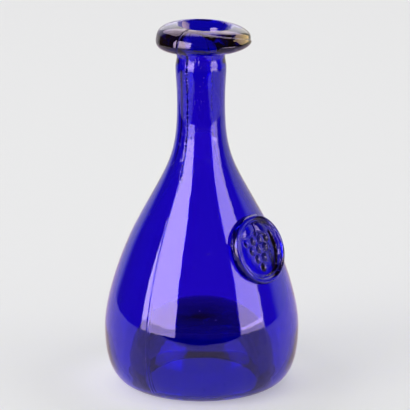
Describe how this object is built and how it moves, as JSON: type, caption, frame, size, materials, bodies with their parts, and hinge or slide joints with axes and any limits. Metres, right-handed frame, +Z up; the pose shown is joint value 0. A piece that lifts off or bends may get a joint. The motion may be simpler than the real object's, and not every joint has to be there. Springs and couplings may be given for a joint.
{
  "type": "glass carafe",
  "caption": "Cobalt-blue blown glass carafe with a bulb-shaped body, a pushed-up base, a heavy rolled lip ring and a round stamped seal on the shoulder.",
  "frame": {"origin": "middle of the foot, on the surface that the carafe stands on", "axes": "+Z up the neck's axis, -Y out of the middle of the seal"},
  "size_m": [0.1168, 0.1168, 0.2209],
  "materials": {
    "body_glass": "clear cobalt-blue blown glass, polished, with fine mould seams",
    "lip_glass": "the same cobalt-blue glass in a thick rolled ring, so darker",
    "seal_glass": "the same cobalt-blue glass, stamped, with softly rounded relief"
  },
  "bodies": {
    "root": {"carafe_body": "body_glass", "lip_ring": "lip_glass", "shoulder_seal": "seal_glass"}
  },
  "joints": []
}
